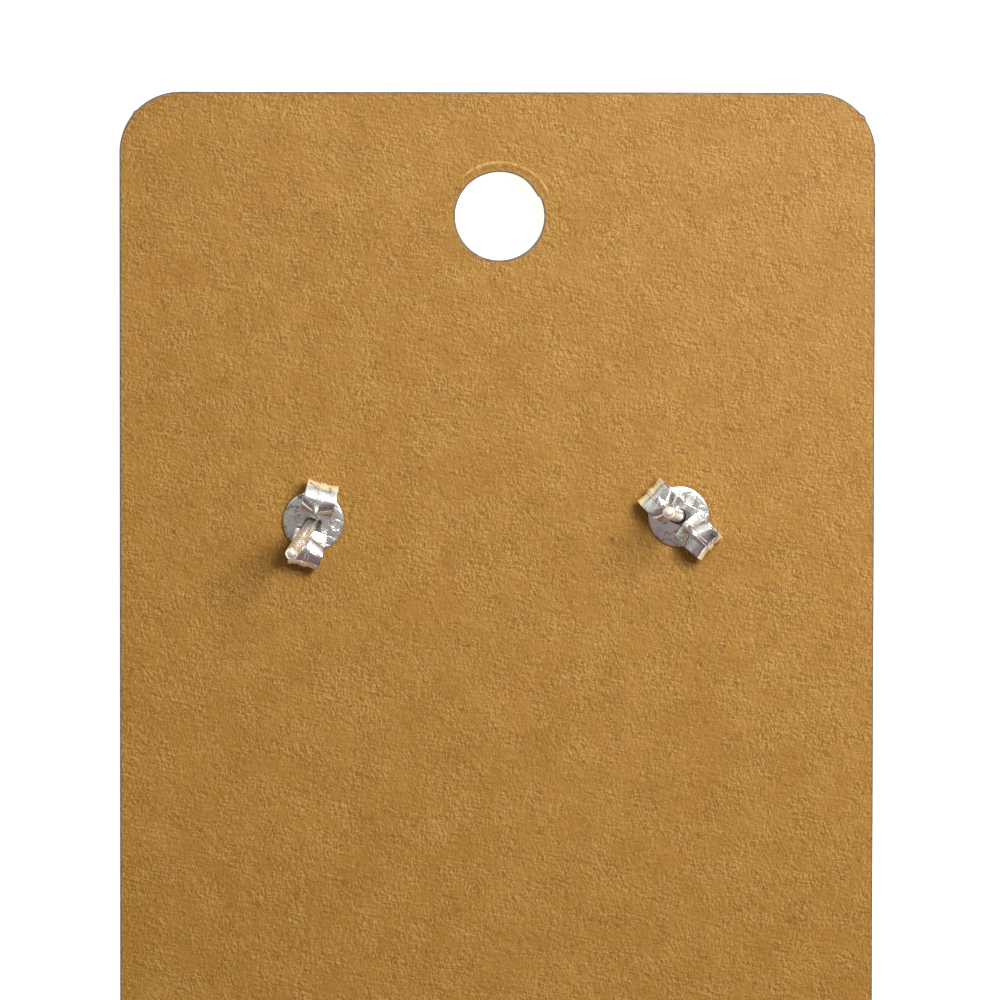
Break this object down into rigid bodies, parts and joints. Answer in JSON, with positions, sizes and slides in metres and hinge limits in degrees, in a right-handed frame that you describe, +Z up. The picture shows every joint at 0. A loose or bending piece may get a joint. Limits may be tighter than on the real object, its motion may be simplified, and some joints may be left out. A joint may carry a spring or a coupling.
{
  "type": "pair of stud earrings on a display card",
  "caption": "Plain half-ball studs through a rounded paperboard card with a hang hole, each post held behind it by a butterfly clutch; lies face down.",
  "frame": {"origin": "on the surface it lies on, under the middle of the model's box", "axes": "+Z up, out of the back of the card; +Y along the card towards the hang hole; +X to the right, seen from above"},
  "size_m": [0.05, 0.09, 0.012],
  "materials": {
    "kraft_board": "matte",
    "stud_silver": "polished",
    "clutch_silver": "polished"
  },
  "bodies": {
    "card_and_studs": {"card": "kraft_board", "left_stud": "stud_silver", "right_stud": "stud_silver"},
    "left_clutch": {"left_clutch": "clutch_silver"},
    "right_clutch": {"right_clutch": "clutch_silver"}
  },
  "joints": [
    {"name": "left_clutch_slide", "type": "slide", "parent": "card_and_studs", "child": "left_clutch", "axis": [-0.151, -0.1481, 0.9774], "range_m": [0, 0.0098]},
    {"name": "right_clutch_slide", "type": "slide", "parent": "card_and_studs", "child": "right_clutch", "axis": [-0.085, 0.1189, 0.9893], "range_m": [0, 0.0098]}
  ]
}
